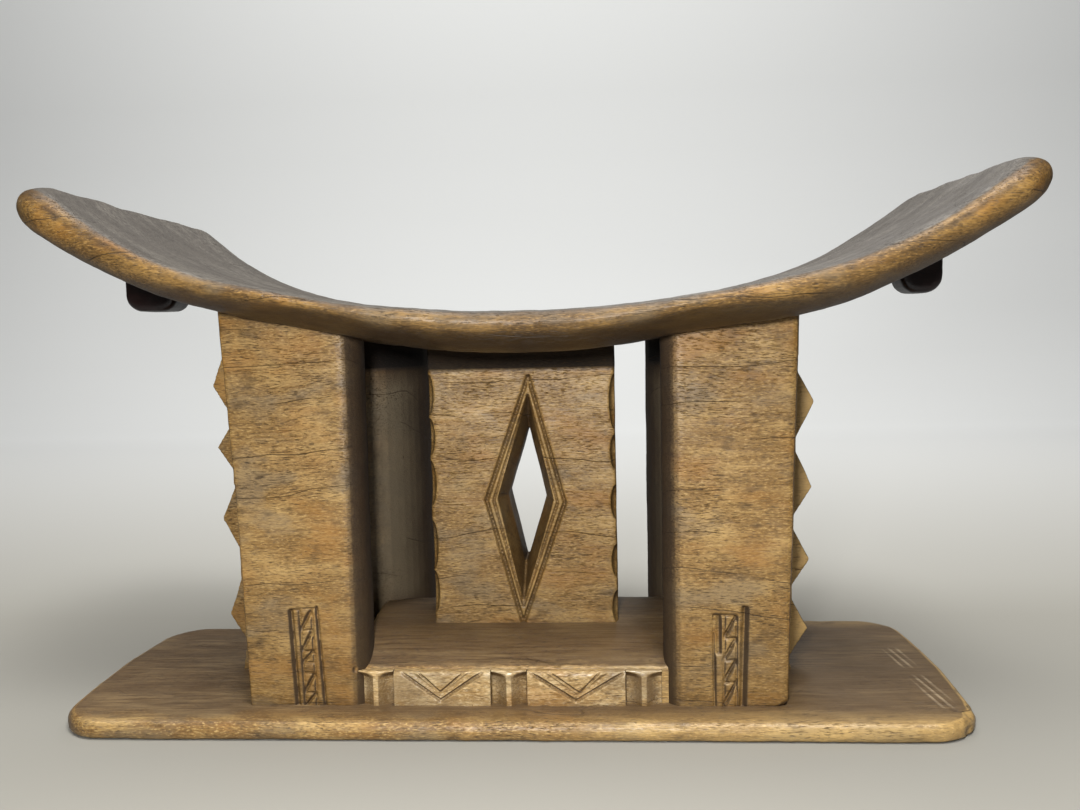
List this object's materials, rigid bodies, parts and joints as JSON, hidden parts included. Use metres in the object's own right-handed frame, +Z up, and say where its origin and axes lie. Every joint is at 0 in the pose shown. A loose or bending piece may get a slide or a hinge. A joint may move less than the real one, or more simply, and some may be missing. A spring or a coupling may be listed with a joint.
{
  "type": "ashanti stool",
  "caption": "Carved wooden Ashanti stool with a curved saddle seat, corner columns, a diamond-pierced middle column, toothed end fins and a flat foot board.",
  "frame": {"origin": "on the ground, under the middle of the pierced middle column; the mount ground_face is there", "axes": "+X along the seat's length, to the viewer's right seen from the front; +Y from front to rear; +Z up"},
  "size_m": [0.5879, 0.24, 0.3348],
  "materials": {
    "seat_wood": "hand carved, worn and waxed, dusty on top",
    "base_wood": "hand carved, worn, dusty, with knife marks",
    "column_wood": "hand carved, waxed, worn edges",
    "carving_wood": "knife carved, worn edges",
    "lug_wood": "darkened and glossy from handling"
  },
  "bodies": {
    "root": {"seat": "seat_wood", "base": "base_wood", "step": "base_wood", "front_left_column": "column_wood", "front_right_column": "column_wood", "rear_left_column": "column_wood", "rear_right_column": "column_wood", "central_column": "column_wood", "left_fin": "column_wood", "right_fin": "column_wood", "front_left_post": "carving_wood", "front_middle_post": "carving_wood", "front_right_post": "carving_wood", "front_left_panel": "carving_wood", "front_right_panel": "carving_wood", "rear_left_post": "carving_wood", "rear_middle_post": "carving_wood", "rear_right_post": "carving_wood", "rear_left_panel": "carving_wood", "rear_right_panel": "carving_wood", "left_lug": "lug_wood", "right_lug": "lug_wood"}
  },
  "joints": []
}
